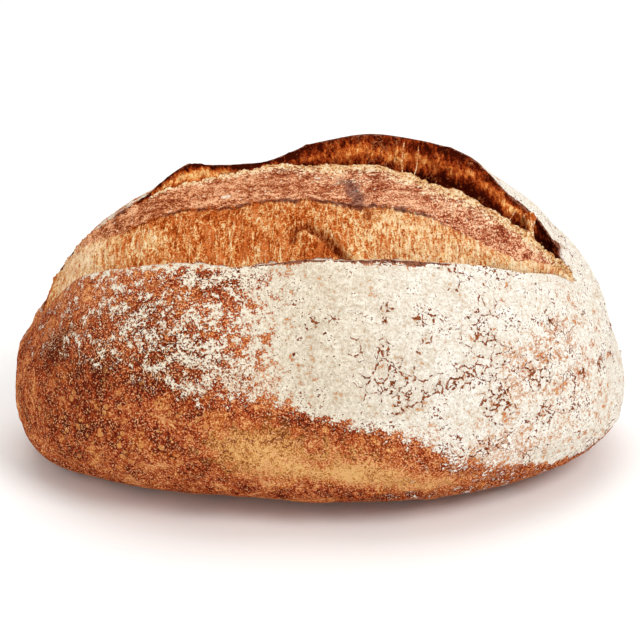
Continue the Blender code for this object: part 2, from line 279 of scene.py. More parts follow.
UNDER_ARRIVES = np.array((1.6, 0.6, 1))         # and how it arrives at the rim
RIM_JAG = ((0.9, 9, 3.1), (0.5, 3.2, 7.7), (0.3, 1.4, 5.2))
RIM_PEAKS = ((-0.425, 0.03, 1.6), (-0.045, 0.012, 0.9), (0.42, 0.015, 0.6))
LIP_JAG = ((0.25, 14, 2.2), (0.12, 4, 8.4))
print("the ear is", round(EAR_THICKNESS / MM, 1), "mm thick at its rim")


# %% The slash at one section
def jagged(place, teeth):
    """Degrees by which a torn edge wanders, summed from teeth of (degrees, mm long, seed)."""
    return sum(size * ragged(place, long, seed) for size, long, seed in teeth)


def openness(place):
    """1 where the slash is fully open, 0 beyond its ends."""
    return ease(SLASH_START, SLASH_WIDE, place) * (1 - ease(SLASH_NARROW, SLASH_END, place))


def slash_marks(place):
    """The angles, heights and openness of the slash at one section."""
    peaks = sum(high * math.exp(-abs(place - x) / wide) for x, wide, high in RIM_PEAKS)
    fringe, rim = guide_value(FRINGE, place), guide_value(RIM, place)
    lip, root = guide_value(LIP, place), fringe + ROOT_SHARE * (rim - fringe)
    opened = openness(place)
    return {
        "lip": lip + jagged(place, LIP_JAG) * opened,
        "ridge": guide_value(RIDGE, place),
        "fringe": fringe,
        "root": root,
        "rim": rim + jagged(place, RIM_JAG) * opened * ease(0, 6, rim - fringe),
        "join": guide_value(JOIN, place),
        "width": root - lip,
        "open": opened,
        "lift": (guide_value(RIM_LIFT, place) + peaks) * MM,
        "crevice": guide_value(CREVICE, place) * MM,
    }


print("half way along, the slash is", round(float(slash_marks(0.0)["width"])), "degrees wide")


# %% Cross-sections of the crust
def ear_faces(place, marks, root):
    """The ear's inner face, up from its root, and its outer face, down to the back crust."""
    down = np.linspace(0, 1, FINE)
    outer_angles = marks["rim"] + (marks["join"] - marks["rim"]) * down
    outer = skin(place, outer_angles, marks["lift"] * (1 - down) ** EAR_SWEEP)
    backwards = (outer[FINE // 8] - outer[0]) * (1, 1, 0)
    backwards = backwards / (np.linalg.norm(backwards) + TINY)
    thickness = min(EAR_THICKNESS, np.linalg.norm((outer[0] - root)[:2]) / 2)
    edge = outer[0] - backwards * thickness
    reach = edge - root
    inner = cubic(root, edge, reach * UNDER_LEAVES, reach * UNDER_ARRIVES, down[:, None])
    return inner, outer


def crust_section(place):
    """One section of the crust as rows of (across, up, angle, stretch)."""
    marks = slash_marks(place)
    lip, root, width, opened = (marks[name] for name in ("lip", "root", "width", "open"))
    front_angles = np.linspace(-180, lip, FINE)
    front = skin(place, front_angles, LIP_RAISE * opened * ease(LIP_ROLL, 0, lip - front_angles))
    lip_top = skin(place, lip, LIP_RAISE)
    lip_inner = skin(place, lip + LIP_UNDERCUT * width, -LIP_THICKNESS)
    slot_floor = skin(place, [lip + share * width for share in SLOT_FLOOR], -SLOT_DEPTH)
    root_point = skin(place, root, -marks["crevice"])
    inner, outer = ear_faces(place, marks, root_point[0])
    lines = (
        [lip_top, lip_inner],
        [lip_inner, slot_floor, root_point],
        [inner],
        [inner[-1], outer[0]],
        [outer],
    )
    slash = np.concatenate(
        [spaced(line, CRUST_POINTS[label], label) for label, line in enumerate(lines, LIP_EDGE)]
    )
    uncut = skin(place, np.linspace(lip, marks["join"], len(slash) + 1)[:-1])
    slash[:, :2] = uncut[:, :2] + (slash[:, :2] - uncut[:, :2]) * opened
    back = skin(place, np.linspace(marks["join"], 180, FINE))
    return np.concatenate(
        [spaced([front], CRUST_POINTS[FRONT], FRONT), slash, spaced([back], CRUST_POINTS[BACK], BACK)]
    )


print("one section of the crust has", len(crust_section(0.0)), "points")


# %% Reading and moving the points of a mesh
def set_points(form, points):
    form.data.vertices.foreach_set("co", np.ascontiguousarray(points, float).ravel())
    form.data.update()


def rows_of(elements, field):
    """One row of three numbers for each element of a mesh."""
    numbers = np.empty(len(elements) * 3)
    elements.foreach_get(field, numbers)
    return numbers.reshape(-1, 3)


def get_points(form):
    return rows_of(form.data.vertices, "co")


def get_normals(form):
    return rows_of(form.data.vertex_normals, "vector")


def turn_faces_out(form):
    bpy.context.view_layer.objects.active = form
    bpy.ops.object.mode_set(mode="EDIT")
    bpy.ops.mesh.select_all(action="SELECT")
    bpy.ops.mesh.normals_make_consistent(inside=False)
    bpy.ops.object.mode_set(mode="OBJECT")


print("the CAD loaf has", len(get_points(bpy.data.objects["loaf"])), "points")


# %% Loft the crust
def outline_places(ends, count):
    """Places from one end to the other, evenly spaced along the loaf's outline seen from above."""
    middle, half = sum(ends) / 2, (ends[1] - ends[0]) / 2
    places = middle + half * np.sin(np.linspace(-np.pi / 2, np.pi / 2, FINE))
    half_width = [FRONT_REACH * rounded_end(place, PLAN_FULLNESS) for place in places]
    steps = np.hypot(np.diff(places) * LENGTH / 2, np.diff(half_width))
    run = np.concatenate([[0], np.cumsum(steps)])
    return np.interp(np.linspace(0, run[-1], count + 1), run, places)


def lofted(name, section, places, around):
    """A sphere along the loaf with each ring moved onto its section, and the rows it came from."""
    bpy.ops.mesh.primitive_uv_sphere_add(segments=around, ring_count=len(places) - 1, radius=1)
    form = bpy.context.object
    form.name = form.data.name = name
    corners = get_points(form)
    last = len(places) - 1
    ring = np.rint(np.arccos(np.clip(-corners[:, 2], -1, 1)) / np.pi * last).astype(int)
    step = np.rint(np.arctan2(corners[:, 1], corners[:, 0]) / (2 * np.pi) * around).astype(int)
    table = np.array([section(place) for place in places])
    table[[0, last]] = table[[0, last]].mean(axis=1, keepdims=True)
    rows = np.column_stack([places[ring] * LENGTH / 2, table[ring, step % around]])
    set_points(form, rows[:, :3])
    turn_faces_out(form)
    return form, rows, places[ring]


crust_places = outline_places((-1, 1), CRUST_SECTIONS)
crust, crust_rows, crust_place = lofted("crust", crust_section, crust_places, sum(CRUST_POINTS))
crust_angle, crust_stretch = crust_rows[:, 3], crust_rows[:, 4]
shift_y = cad_low[1] - crust_rows[:, 1].min()
print("crust:", len(crust.data.polygons), "faces; the CAD was centred by", round(shift_y / MM, 2), "mm")

# %% [markdown]
# ## Spots and lines on the loaf
#
# Many features sit at one spot of the loaf: a scorched patch, a bare golden patch, a scar. A spot
# is a place, an angle and how far it reaches each way. A line is a few such points, and `near_line`
# tells how close each point of the mesh lies to it. Both work on the whole mesh at once.

# %% Spots and lines
DEGREE = 1.75 * MM          # length of one degree round the loaf


def spots(place, angle, places):
    """Sum of soft spots, each (place, angle, reach along, reach round, strength)."""
    total = np.zeros(len(place))
    for x, turn, wide, high, strength in places:
        far = ((place - x) / wide) ** 2 + ((angle - turn) / high) ** 2
        total += strength * np.exp(-far)
    return total


def near_line(place, angle, line, reach):
    """1 on a line of (place, angle) points, falling to 0 at reach, in mm, from it."""
    here = np.column_stack([place * LENGTH / 2, angle * DEGREE])
    ends = np.array(line, float) * (LENGTH / 2, DEGREE)
    nearest = np.full(len(place), np.inf)
    for start, end in zip(ends, ends[1:]):
        along = end - start
        share = np.clip((here - start) @ along / (along @ along), 0, 1)
        nearest = np.minimum(nearest, np.linalg.norm(here - start - share[:, None] * along, axis=1))
    return np.exp(-((nearest / (reach * MM)) ** 2))


edge_of_spot = spots(np.array([0.1]), np.array([0.0]), ((0, 0, 0.1, 1, 1),))
print("at its reach a spot has fallen to", round(float(edge_of_spot[0]), 2))

# %% [markdown]
# ## Relief of the crust
#
# Real crust is never smooth: the baked skin wrinkles, the flour skin has soft dents, and the foot
# of the loaf is scalloped where it met the baking stone. Each kind is a noise of its own size. The
# points are moved along the surface's own direction, and then held inside the CAD's box.

# %% Give the crust its relief
FOLDS = (
    (((-0.06, -60), (0.0, -54), (0.06, -50), (0.11, -49)), 1.5, 0.9),
    (((0.11, -49), (0.13, -56), (0.12, -66), (0.14, -74)), 1.4, 0.7),
    (((0.3, -47), (0.31, -56), (0.3, -62)), 1.2, 0.6),
    (((0.4, -50), (0.5, -58), (0.53, -66)), 1.4, 0.7),
    (((-0.02, -72), (0.1, -76), (0.2, -73)), 1.4, 0.6),
)
FOOT_SPOTS = ((0, -108, 3, 16, 1), (0, 108, 3, 16, 1))
UNDER_FROM, UNDER_WHOLE = 118, 140              # degrees: the dents begin to fade, they are gone
DENTS, WRINKLES, SCALLOPS = (13, 2, 3.3), (4.2, 3, 8.1), (9, 3, 5.7)    # mm wide, detail, seed
DENT_DEPTH, WRINKLE_DEPTH, SCALLOP_DEPTH = 0.5, 0.22, 1.7               # mm
EAR_LUMPS = (6, 3, 9.9)
EAR_FIBRE_DEPTH, EAR_LUMP_DEPTH = 0.7, 1.2      # mm

torn_face = np.isin(crust_stretch, (SLOT, UNDER, RIM_EDGE)) * 1.0
skin_face = 1 - torn_face
points, normals = get_points(crust), get_normals(crust)
foot = spots(crust_place, crust_angle, FOOT_SPOTS)
under = ease(UNDER_FROM, UNDER_WHOLE, np.abs(crust_angle))
height = DENT_DEPTH * rough(points, *DENTS) * (1 - under)
height += WRINKLE_DEPTH * rough(points, *WRINKLES) * (1 - 0.7 * under)
height += SCALLOP_DEPTH * rough(points, *SCALLOPS) * foot
for line, reach, depth in FOLDS:
    height -= depth * near_line(crust_place, crust_angle, line, reach)
height *= skin_face
fibres = rough(points, 1.0, 2, 4.4, stretch=(1.8, 5, 5))
inside_ear = np.isin(crust_stretch, (SLOT, UNDER))
height += inside_ear * (EAR_FIBRE_DEPTH * fibres + EAR_LUMP_DEPTH * rough(points, *EAR_LUMPS))
points += normals * (height * MM)[:, None]
points[:, 1] += shift_y


def kept_inside(points):
    """The points, held inside the CAD's box."""
    return np.clip(points, cad_low, cad_high)


set_points(crust, kept_inside(points))
print("relief of the crust:", round(height.min(), 2), "to", round(height.max(), 2), "mm")

# %% [markdown]
# ## The burst
#
# When the oven heat swelled the loaf, soft dough tore up through the slash. Its front half pulled
# out last and stayed pale, with long fibres across the tear; behind a dark ragged line its back
# half is older skin, browned to rust; and its back edge is a pale torn fringe. The burst is made
# like the crust, with far more points, because its fibres are only about a millimetre wide.

# %% Measures of the burst
PALE, BROWN, WALL, HIDDEN = range(4)
BURST_POINTS = (84, 80, 18, 6)
BURST_SECTIONS = 500
BURST_LEFT, BURST_RIGHT = -0.935, 0.86
BURST_END_ROUND = 0.03      # share of the burst's length over which each end is rounded
BURST_NARROW, BURST_DONE = 0.75, 0.86           # places: it begins to sink, it has sunk
BURST_TUCK = 2.6 * MM       # how deep it lies where it comes out from under the lip
TUCK_DEPTH, TUCK_SHARE = 8 * MM, 0.05
PALE_CROWN = 2.0 * MM       # how high the pale band swells over the uncut skin
PALE_ARCH = 112             # degrees of arch: over 90, so that it falls again at the ridge
RIDGE_STEP = 0.9 * MM
FRINGE_BULGE = 4.5 * MM
FRINGE_ROUND = 1.5 * MM
WALL_SHARE = 0.02           # share of the slash's width
WALL_SINK = 2 * MM
BURST_SINK = 6 * MM         # how far it sinks under the crust at its ends
ROOT_DEPTH, ROOT_DEPTH_ENDS = 26 * MM, 12 * MM
RIDGE_JAG = ((1.2, 11, 1.4), (0.8, 4, 6.1), (0.6, 1.5, 9.3))
FRINGE_JAG = ((1.1, 10, 4.2), (0.8, 4.4, 2.7), (0.3, 1.3, 8.8))
print("the burst's back edge bulges", round(FRINGE_BULGE / MM, 1), "mm over the uncut skin")


# %% Cross-sections of the burst
def pale_height(share):
    """Height of the pale band over the uncut skin, from the lip (0) to the ridge (1)."""
    return -BURST_TUCK + (PALE_CROWN + BURST_TUCK) * np.sin(np.radians(share * PALE_ARCH))


def brown_height(share, place):
    """Height of the browned band over the uncut skin, from the ridge (0) to the fringe (1)."""
    step = pale_height(1) + RIDGE_STEP * ease(-0.75, -0.5, place) * ease(0.5, 0.2, place)
    return step + (FRINGE_BULGE - step) * ease(0, 1, share)


def burst_openness(place):
    """1 where the burst stands at its full height, 0 where it has sunk under the crust."""
    return ease(SLASH_START, SLASH_WIDE, place) * (1 - ease(BURST_NARROW, BURST_DONE, place))


def burst_section(place):
    """One section of the burst: its two bands, the wall behind them, and its hidden root."""
    marks, opened = slash_marks(place), burst_openness(place)
    lip, ridge, fringe, root, width = (
        marks[name] for name in ("lip", "ridge", "fringe", "root", "width")
    )
    ridge = ridge + jagged(place, RIDGE_JAG) * ease(2, 8, ridge - lip)
    fringe = fringe + jagged(place, FRINGE_JAG) * ease(2, 8, fringe - ridge)
    share = np.linspace(0, 1, FINE)
    root_depth = ROOT_DEPTH_ENDS + (ROOT_DEPTH - ROOT_DEPTH_ENDS) * opened

    def surfaced(height):
        return (height + BURST_SINK) * opened - BURST_SINK

    tuck = skin(place, lip - TUCK_SHARE * width, -TUCK_DEPTH)
    pale = skin(place, lip + (ridge - lip) * share, surfaced(pale_height(share)))
    brown = skin(place, ridge + (fringe - ridge) * share, surfaced(brown_height(share, place)))
    wall_top = skin(place, fringe + WALL_SHARE * width, surfaced(FRINGE_BULGE - FRINGE_ROUND))
    wall_foot = skin(place, root + WALL_SHARE * width, -marks["crevice"] - WALL_SINK)
    root_back = skin(place, root - 2 * WALL_SHARE * width, -root_depth)
    root_front = skin(place, lip + SLOT_FLOOR[0] * width, -root_depth)
    lines = (
        [tuck, pale],
        [pale[-1], brown],
        [brown[-1], wall_top, wall_foot],
        [wall_foot, root_back, root_front, tuck],
    )
    return np.concatenate(
        [spaced(line, BURST_POINTS[label], label) for label, line in enumerate(lines)]
    )


def rounded_burst_section(place):
    """A burst section, drawn in towards its middle at the burst's two ends."""
    rows = burst_section(place)
    share = (place - BURST_LEFT) / (BURST_RIGHT - BURST_LEFT)
    near_end = 1 - min(share, 1 - share) / BURST_END_ROUND
    size = np.sqrt(max(0.0, 1 - max(0.0, near_end) ** 2))
    centre = rows[:, :2].mean(axis=0)
    rows[:, :2] = centre + (rows[:, :2] - centre) * size
    return rows


burst_places = outline_places((BURST_LEFT, BURST_RIGHT), BURST_SECTIONS)
burst, burst_rows, burst_place = lofted(
    "burst", rounded_burst_section, burst_places, sum(BURST_POINTS)
)
burst_angle, burst_stretch = burst_rows[:, 3], burst_rows[:, 4]
print("burst:", len(burst.data.polygons), "faces")

# %% [markdown]
# ## Relief of the burst
#
# The fibres of the pale band run across the tear, so their noise is stretched that way. The rusty
# band is lumpy instead. A fold and a scar, seen in the photograph, are pressed in along lines.

# %% Give the burst its relief
FOLD = ((-0.085, -26), (-0.075, -23), (-0.043, -21.5), (0.006, -24.5), (0.048, -29), (0.08, -33))
SCAR = ((0.075, -1), (0.1, -6), (0.118, -9), (0.105, -14), (0.16, -18))
FRINGE_WIDTH = (
    (-1, 0.8), (-0.6, 1.0), (-0.45, 1.7), (-0.3, 2.4), (-0.1, 4.6), (0.08, 7.5), (0.25, 6.5),
    (0.45, 5), (0.6, 3.5), (1, 3.5),
)

burst_lip = guide_value(LIP, burst_place)
burst_ridge = guide_value(RIDGE, burst_place)
burst_fringe = guide_value(FRINGE, burst_place)
points, normals = get_points(burst), get_normals(burst)
pale = (burst_stretch == PALE) * 1.0
brown = (burst_stretch == BROWN) * 1.0
wall = (burst_stretch == WALL) * 1.0
open_burst = np.array([burst_openness(place) for place in burst_places])
open_burst = np.interp(burst_place, burst_places, open_burst)
fibres = rough(points, 1.0, 3, 2.2, stretch=(1.25, 6.5, 6.5))
crumbs = rough(points, 1.3, 2, 6.6)
lumpy = rough(points, 6.5, 3, 7.3)
fringe_wide = guide_value(FRINGE_WIDTH, burst_place) * (1 + 0.45 * lumpy)
fringe_near = np.exp(-(((burst_fringe - burst_angle) / fringe_wide) ** 2)) * brown
height = pale * (0.55 * fibres + 0.4 * lumpy)
height += brown * (0.9 * lumpy + 0.25 * crumbs + 0.1 * fibres)
height += fringe_near * (0.45 * crumbs + 0.35 * fibres) + wall * (1.3 * lumpy + 0.7 * crumbs)
fold = near_line(burst_place, burst_angle, FOLD, 1.9) * pale
roll = near_line(burst_place - 0.024, burst_angle - 1.6, FOLD, 2.8) * pale
scar = near_line(burst_place, burst_angle, SCAR, 4.6) * np.clip(0.8 + 1.1 * lumpy, 0, 1)
height += 1.7 * roll - 2.6 * fold - 1.6 * scar * (0.8 + 0.8 * crumbs)
points += normals * (height * MM * open_burst)[:, None]
points[:, 1] += shift_y
set_points(burst, kept_inside(points))
print("relief of the burst:", round(height.min(), 2), "to", round(height.max(), 2), "mm")

# %% [markdown]
# ## Marks for the materials
#
# A material can't know where on the loaf it is, so each point of the mesh carries a few numbers
# from 0 to 1: how much flour lies there, how dark it is baked (on the ear's face partly painted
# shade), where the flour cracked, and so on.
# Blender calls them attributes. The materials only read them and add the fine, broken detail.

# %% Helper that writes a mark
def mark(form, name, values):
    attribute = form.data.attributes.new(name, "FLOAT", "POINT")
    attribute.data.foreach_set("value", np.clip(values, 0, 1).astype(float))


print("before it is marked, the crust has", len(crust.data.attributes), "attributes")

# %% Guides and spots of the crust
FLOUR_FRONT = (
    (-1, 0.02), (-0.9, 0.12), (-0.75, 0.29), (-0.6, 0.38), (-0.45, 0.41), (-0.3, 0.47),
    (-0.18, 0.62), (-0.05, 0.9), (0.3, 1.0), (0.55, 0.89), (0.8, 0.85), (1, 0.93),
)
FLOUR_BACK = ((-1, 0.2), (-0.8, 0.42), (-0.5, 0.62), (-0.2, 0.8), (0.1, 0.92), (1, 0.95))
FLOUR_FOOT = (
    (-1, -42), (-0.85, -48), (-0.73, -61), (-0.63, -64.5), (-0.5, -70), (-0.36, -74), (-0.1, -76),
    (0.07, -79), (0.24, -82.5), (0.36, -87), (0.49, -92), (0.62, -98), (0.75, -108),
    (0.89, -114), (1, -110),
)
THIN_SPOTS = (
    (0.72, -58, 0.1, 9, 0.55), (0.78, -76, 0.1, 12, 0.4), (0.56, -90, 0.12, 6, 0.8),
    (0.6, -70, 0.05, 8, 0.6), (0.3, -84, 0.12, 4, 0.6), (-0.25, -70, 0.12, 5, 0.7),
)
DARK_SPOTS = (
    (-0.82, -50, 0.06, 10, 0.44), (-0.67, -61, 0.05, 7, 0.44), (-0.45, -65, 0.15, 8, 0.4),
    (-0.5, -50, 0.2, 12, 0.22), (-0.3, -40, 0.14, 5, 0.34), (-0.78, -72, 0.16, 14, 0.16),
    (0.0, -114, 0.6, 5, 0.14), (0.14, -96, 0.3, 8, -0.27), (0.6, -102, 0.2, 8, -0.16),
    (-0.56, -39, 0.2, 6, -0.1), (-0.5, 70, 0.3, 20, 0.3), (0.1, 100, 0.5, 14, 0.25),
)
GOLDEN_SPOTS = (
    (-0.28, -86, 0.08, 5, 0.7), (-0.14, -85, 0.1, 5, 0.8), (-0.2, -93, 0.14, 6, 0.5),
    (0.1, -95, 0.2, 6, 0.8), (0.3, -103, 0.2, 5, 0.6), (0.08, -86, 0.1, 4, 0.4),
    (0.0, 98, 0.5, 9, 0.5),
)
BLISTER_SPOTS = (
    (-0.75, -86, 0.34, 20, 1.0), (-0.35, -86, 0.25, 10, 0.7), (0.2, -100, 0.4, 8, 0.6),
    (-0.6, 96, 0.4, 20, 1.0), (0.2, 104, 0.4, 12, 0.7), (-0.6, -45, 0.25, 9, 0.5),
)
CRACK_SPOTS = (
    (0.19, -54, 0.025, 8, 0.5), (0.0, -53, 0.07, 3, 0.6), (0.34, -69, 0.11, 6, 0.7),
    (0.54, -76, 0.07, 12, 0.65), (0.5, -57, 0.05, 10, 0.5), (0.75, -68, 0.13, 16, 0.3),
    (0.2, -36, 0.1, 2, 0.4), (0.18, -71, 0.08, 4, 0.5), (0.3, -52, 0.08, 4, 0.3),
    (0.4, -90, 0.1, 6, 0.4),
)
# Patches on the ear's face: place, share up the face, reach along, reach up, strength (positive
# lighter, negative darker); the dark ones low on the face are painted shade behind the fringe
EAR_SPOTS_AND_SHADE = (
    (-0.41, 0.5, 0.08, 0.5, 0.4), (-0.3, 0.4, 0.05, 0.3, 0.2), (-0.06, 0.6, 0.05, 0.3, -0.26),
    (0.04, 0.3, 0.03, 0.3, -0.22), (0.1, 0.45, 0.05, 0.25, 0.16), (0.25, 0.5, 0.05, 0.25, 0.14),
    (0.35, 0.25, 0.04, 0.2, -0.2), (0.58, 0.55, 0.03, 0.35, 0.36), (0.56, 0.1, 0.02, 0.25, -0.3),
    (0.72, 0.4, 0.045, 0.8, -0.5), (0.0, 0.25, 0.025, 0.2, 0.3), (0.45, 0.6, 0.09, 0.5, -0.12),
    (-0.2, 0.95, 0.18, 0.3, -0.36), (-0.43, 1.0, 0.05, 0.25, -0.3),
)
BURN_WIDTH = (
    (-1, 0), (-0.3, 0), (-0.2, 0.3), (-0.05, 0.8), (0.1, 0.9), (0.2, 1.3), (0.3, 1.3),
    (0.38, 0.5), (0.46, 0), (1, 0),
)
print("dark, golden and cracked spots:", len(DARK_SPOTS + GOLDEN_SPOTS + CRACK_SPOTS))

# %% Flour, bake and cracks on the crust
front_side = crust_angle < 0
flour_front, flour_back = guide_value(FLOUR_FRONT, crust_place), guide_value(FLOUR_BACK, crust_place)
flour = np.where(front_side, flour_front, flour_back)
flour_foot = guide_value(FLOUR_FOOT, crust_place)
above = np.where(front_side, crust_angle - flour_foot, -crust_angle - flour_foot)
thin = spots(crust_place, crust_angle, THIN_SPOTS)
flour -= 0.12 * thin
dusted = 0.02 + 0.19 * ease(0.05, 0.5, crust_place) * ease(0.98, 0.9, crust_place)
flour = flour * ease(-5, 3, above) + dusted * (1 - ease(-5, 3, above))
crust_lip = guide_value(LIP, crust_place)
flour += 0.35 * ease(3, 0, crust_lip - crust_angle) * front_side * ease(-0.8, -0.65, crust_place)
under_flour = np.exp(-(((above + 5) / 3.5) ** 2)) * front_side * ease(-0.4, 0, crust_place)
blistered = np.clip(spots(crust_place, crust_angle, BLISTER_SPOTS), 0, 1)
golden = spots(crust_place, crust_angle, GOLDEN_SPOTS)
bake = 0.5 - 0.1 * golden + 0.1 * blistered + 0.14 * under_flour + 0.3 * np.clip(flour, 0, 1)
bake += spots(crust_place, crust_angle, DARK_SPOTS)
crackle = 0.2 * ease(-0.1, 0.3, crust_place) + spots(crust_place, crust_angle, CRACK_SPOTS)
crackle = np.where(front_side, crackle, 0.3)
print("mean flour on the crust:", round(float(flour.mean()), 2))

# %% Torn and scorched edges of the crust
opened = np.interp(crust_place, crust_places, [openness(x) for x in crust_places])
slash_open = ease(0.3, 0.65, opened)
under_ear = np.isin(crust_stretch, (SLOT, UNDER)) * slash_open
rim_edge = (crust_stretch == RIM_EDGE) * slash_open
rim_angle = guide_value(RIM, crust_place)
near_rim = np.exp(-(((crust_angle - rim_angle) / 0.9) ** 2)) * (crust_stretch == OUTER)
dark_edge = np.maximum(rim_edge, near_rim) * ease(-0.8, -0.55, crust_place) * slash_open
ragged_burn = [0.8 * ragged(x, 7, 6.3) + 0.6 * ragged(x, 2.5, 3.8) for x in crust_places]
ragged_burn = np.interp(crust_place, crust_places, ragged_burn)
burn_wide = guide_value(BURN_WIDTH, crust_place) * (1 + ragged_burn)
lip_burn = np.exp(-(((crust_lip - crust_angle) / (burn_wide + TINY)) ** 2))
lip_burn *= (crust_stretch <= LIP_EDGE) * ease(0.1, 0.5, burn_wide)
ear_root = guide_value(FRINGE, crust_place) * (1 - ROOT_SHARE) + rim_angle * ROOT_SHARE
up_the_ear = (crust_angle - ear_root) / (rim_angle - ear_root + TINY)
on_ear = np.isin(crust_stretch, (SLOT, UNDER, RIM_EDGE))
# on the ear the bake comes from its spots, whose dark ones low on the face are painted shade
bake = np.where(on_ear, 0.5 - spots(crust_place, up_the_ear, EAR_SPOTS_AND_SHADE), bake)
for name, values in (
    ("flour", flour * (1 - dark_edge) * (1 - lip_burn)),
    ("bake", bake),
    ("blistered", blistered),
    ("golden", golden),
    ("crackle", crackle),
    ("thin", thin),
    # painted light: the flour is whiter toward the right end, where the key lamp falls
    ("snow", ease(-0.1, 0.45, crust_place)),
    ("torn", np.maximum(under_ear, rim_edge)),
    ("height", up_the_ear * under_ear + rim_edge),
    ("scorch", np.maximum(dark_edge, lip_burn)),
):
    mark(crust, name, values)
print("points with a scorched edge:", int((np.maximum(dark_edge, lip_burn) > 0.5).sum()))

# %% Bands of the burst
# painted shade on the pale band under the fold that lies over it
FOLD_SHADE_SPOTS = ((0.0, -30.5, 0.075, 4, 1), (0.05, -24, 0.03, 5, 0.4))
PALE_TONE = (
    (-1, 0.4), (-0.89, 0.55), (-0.76, 0.84), (-0.6, 0.55), (-0.3, 0.4), (-0.05, 0.48),
    (0.15, 0.6), (0.5, 0.7), (1, 0.78),
)
under_fold_shade = spots(burst_place, burst_angle, FOLD_SHADE_SPOTS)
ridge_lines = [guide_value(RIDGE, x) + jagged(x, RIDGE_JAG) for x in burst_places]
from_ridge = burst_angle - np.interp(burst_place, burst_places, ridge_lines)
pale_tip = ease(0.7, 0.84, burst_place)
# painted shadow along the ridge, under the rusty band's edge that overhangs the pale band
ridge_shadow = np.exp(-((from_ridge / 0.9) ** 2)) * ease(-0.6, -0.46, burst_place)
ridge_shadow *= ease(0.48, 0.28, burst_place)
across = np.clip((burst_angle - burst_lip) / (burst_ridge - burst_lip + TINY), 0, 1) * pale + brown
rust = ease(-1.2, 1.2, from_ridge) * (pale + brown)
rust *= (1 - pale_tip) * ease(-0.95, -0.62, burst_place)
for name, values in (
    ("rust", rust),
    ("ridge", ridge_shadow),
    ("fringe", fringe_near * ease(-0.62, -0.45, burst_place) + pale_tip * 0.5 * brown),
    ("wall", wall),
    # painted shade in the crease of the fold and in the dent of the scar
    ("fold", np.maximum(fold, scar)),
    ("across", across),
    ("pink", ease(-0.5, 0.6, burst_place)),
    ("warmth", guide_value(PALE_TONE, burst_place) - 0.3 * under_fold_shade),
):
    mark(burst, name, values)
print("bands marked on", len(burst_place), "points")

# %% [markdown]
# ## Small tools for the materials
#
# A material is a chain of nodes. These short helpers add a node or a few and hand on what comes
# out, so that a material reads like a recipe. `paint` takes a colour as a paint program shows it.

# %% Colours, nodes and sums
def paint(red, green, blue):
    """A colour given as 0-255 screen values, as the linear values that a shader needs."""
    shares = [value / 255 for value in (red, green, blue)]
    return (*[s / 12.92 if s <= 0.04045 else ((s + 0.055) / 1.055) ** 2.4 for s in shares], 1)


def add(tree, kind, inputs=None, **settings):
    """A node with these settings. An input is a number, a colour or another node's output."""
    made = tree.nodes.new("ShaderNode" + kind)
    for name, value in settings.items():
        setattr(made, name, value)
    for name, value in (inputs or {}).items():
        if isinstance(value, bpy.types.NodeSocket):
            tree.links.new(value, made.inputs[name])
        else:
            made.inputs[name].default_value = value
    return made


def read_marks(tree, *names):
    """One output for each of these marks of the mesh."""
    return [add(tree, "Attribute", attribute_name=name).outputs["Fac"] for name in names]


def calc(tree, operation, first, second=0.0):
    return add(tree, "Math", {0: first, 1: second}, operation=operation).outputs[0]


def plus(tree, first, second):
    return calc(tree, "ADD", first, second)


def minus(tree, first, second):
    return calc(tree, "SUBTRACT", first, second)


def times(tree, first, second):
    return calc(tree, "MULTIPLY", first, second)


print("screen grey 128 is", round(paint(128, 128, 128)[0], 3), "to a shader")


# %% Slopes, noises, cells and colours
def slope(tree, value, low, high, start=0.0, end=1.0):
    """start up to low, end from high on, and a smooth slope between."""
    inputs = {"Value": value, "From Min": low, "From Max": high, "To Min": start, "To Max": end}
    return add(tree, "MapRange", inputs, interpolation_type="SMOOTHSTEP").outputs["Result"]


def grain(tree, where, size, detail=2.0, sharp=0.5, bend=0.0):
    """Noise with grains this many mm wide."""
    shape = {"Detail": detail, "Roughness": sharp, "Distortion": bend}
    return add(tree, "TexNoise", {"Vector": where, "Scale": 1 / (size * MM), **shape}).outputs["Fac"]


def cells(tree, where, size, feature="F1"):
    """Voronoi cells this many mm wide."""
    return add(tree, "TexVoronoi", {"Vector": where, "Scale": 1 / (size * MM)}, feature=feature)


def tint(tree, share, first, second):
    """first where share is 0, second where it is 1."""
    made = add(tree, "Mix", {0: share, 6: first, 7: second}, data_type="RGBA")
    return made.outputs[2]


def shades(tree, value, stops):
    """A colour ramp through stops of (position, screen colour)."""
    ramp = add(tree, "ValToRGB", {"Fac": value})
    band = ramp.color_ramp
    for position, colour in stops[2:]:
        band.elements.new(position)
    for element, (position, colour) in zip(band.elements, stops):
        element.position, element.color = position, paint(*colour)
    return ramp.outputs["Color"]


def shaken(tree, where, size, distance):
    """The same coordinates, pushed about by a noise so that cells lose their straight sides."""
    push = add(tree, "TexNoise", {"Vector": where, "Scale": 1 / (size * MM), "Detail": 2.0})
    inputs = {0: push.outputs["Color"], 1: (0.5, 0.5, 0.5)}
    centred = add(tree, "VectorMath", inputs, operation="SUBTRACT").outputs[0]
    scaled = add(tree, "VectorMath", {0: centred, "Scale": distance * MM}, operation="SCALE").outputs[0]
    return add(tree, "VectorMath", {0: where, 1: scaled}, operation="ADD").outputs[0]


# %% Start and finish a material
def blank(name):
    """A new material, its node tree, its shader and its Object coordinates."""
    material = bpy.data.materials.new(name)
    material.use_nodes = True
    tree = material.node_tree
    where = add(tree, "TexCoord").outputs["Object"]
    return material, tree, tree.nodes["Principled BSDF"], where


def finish_shader(tree, shader, colour, roughness, height, gloss):
    """Joins colour, roughness and a height in mm to the shader."""
    bump = add(tree, "Bump", {"Height": height, "Strength": 1.0, "Distance": MM})
    tree.links.new(bump.outputs["Normal"], shader.inputs["Normal"])
    tree.links.new(colour, shader.inputs["Base Color"])
    tree.links.new(roughness, shader.inputs["Roughness"])
    shader.inputs["Specular IOR Level"].default_value = gloss
